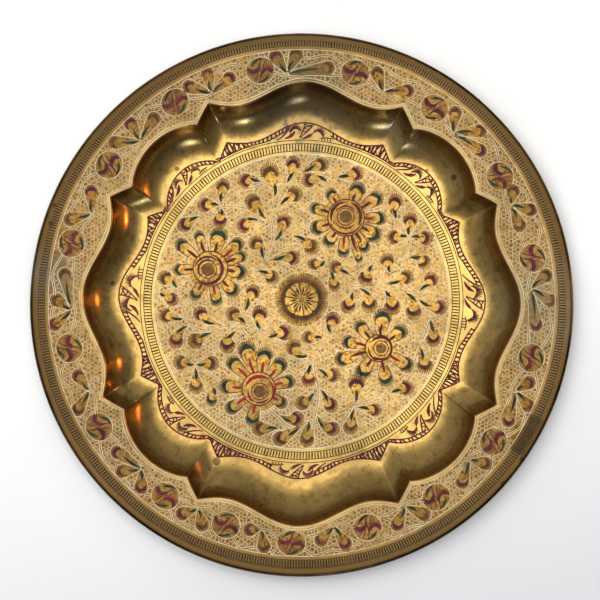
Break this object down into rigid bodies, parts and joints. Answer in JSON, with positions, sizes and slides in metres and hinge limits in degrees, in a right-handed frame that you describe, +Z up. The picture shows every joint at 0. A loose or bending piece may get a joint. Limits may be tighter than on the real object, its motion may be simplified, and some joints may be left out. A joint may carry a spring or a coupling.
{
  "type": "serving tray",
  "caption": "Round brass tray with a lobed sunken well, a flat rim with a wired rolled edge, and lac-filled floral ornament.",
  "frame": {"origin": "centre of the outline, on the surface the tray stands on", "axes": "+Z up through the tray, +Y towards the side with the sprig that leans right of the top roundel, +X to its right"},
  "size_m": [0.2997, 0.2996, 0.0163],
  "materials": {
    "brass_sheet": "pressed, chased and aged",
    "iron_wire": "drawn iron wire",
    "maroon_lac": "lac, scraped flush",
    "red_lac": "lac, scraped flush",
    "green_lac": "lac, scraped flush",
    "brown_lac": "lac, scraped flush",
    "white_lac": "lac, scraped flush",
    "dark_lac": "lac, scraped flush"
  },
  "bodies": {
    "root": {"tray_sheet": "brass_sheet", "rim_wire": "iron_wire", "rim_tick_lac": "dark_lac", "rim_line_lac": "dark_lac", "rim_border_lac": "white_lac", "roundel_ring_lac": "white_lac", "roundel_maroon_lac": "maroon_lac", "roundel_green_lac": "green_lac", "rim_bud_lac": "brown_lac", "rim_leaf_lac": "green_lac", "spandrel_border_lac": "maroon_lac", "spandrel_scroll_lac": "maroon_lac", "floor_ring_lac": "maroon_lac", "floor_ladder_lac": "dark_lac", "field_line_lac": "white_lac", "rosette_halo_lac": "brown_lac", "rosette_petal_lac": "maroon_lac", "dahlia_ring_lac": "maroon_lac", "dahlia_stroke_lac": "red_lac", "dahlia_cap_lac": "green_lac", "bud_maroon_lac": "maroon_lac", "bud_brown_lac": "brown_lac", "leaf_green_lac": "green_lac"}
  },
  "joints": []
}
